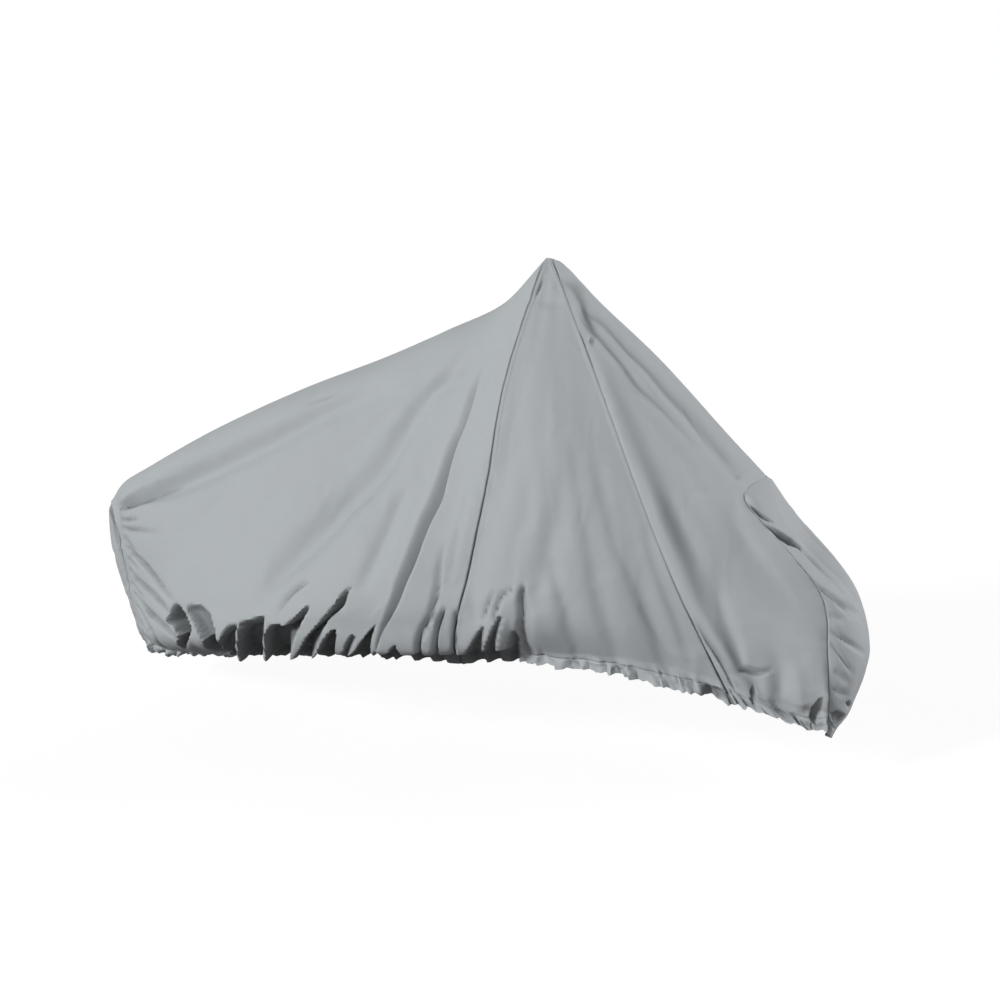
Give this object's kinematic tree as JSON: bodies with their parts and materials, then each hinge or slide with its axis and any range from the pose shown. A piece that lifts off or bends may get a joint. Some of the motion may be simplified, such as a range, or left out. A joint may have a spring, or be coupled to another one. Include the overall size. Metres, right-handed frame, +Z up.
{
  "type": "motorcycle cover",
  "caption": "Fitted fabric cover with a tall peak, sewn from shaped panels and drawn in along an elastic hem.",
  "frame": {"origin": "on the inside of the cover's peak, on the centre plane, where it hangs from what it covers", "axes": "+X towards the nose end, along the cover's length; +Y to the left; +Z up"},
  "size_m": [2.31, 0.919, 1.262],
  "materials": {
    "rear_cloth": "coated plain-weave polyester, grey, matt with a faint sheen",
    "gore_cloth": "coated plain-weave polyester, grey, matt with a faint sheen",
    "front_cloth": "coated plain-weave polyester, grey, matt with a faint sheen",
    "gusset_cloth": "coated plain-weave polyester, grey, matt with a faint sheen"
  },
  "bodies": {
    "root": {"rear_panel": "rear_cloth", "gore_right": "gore_cloth", "gore_left": "gore_cloth", "front_panel": "front_cloth", "back_gusset": "gusset_cloth", "nose_gusset": "gusset_cloth"}
  },
  "joints": []
}
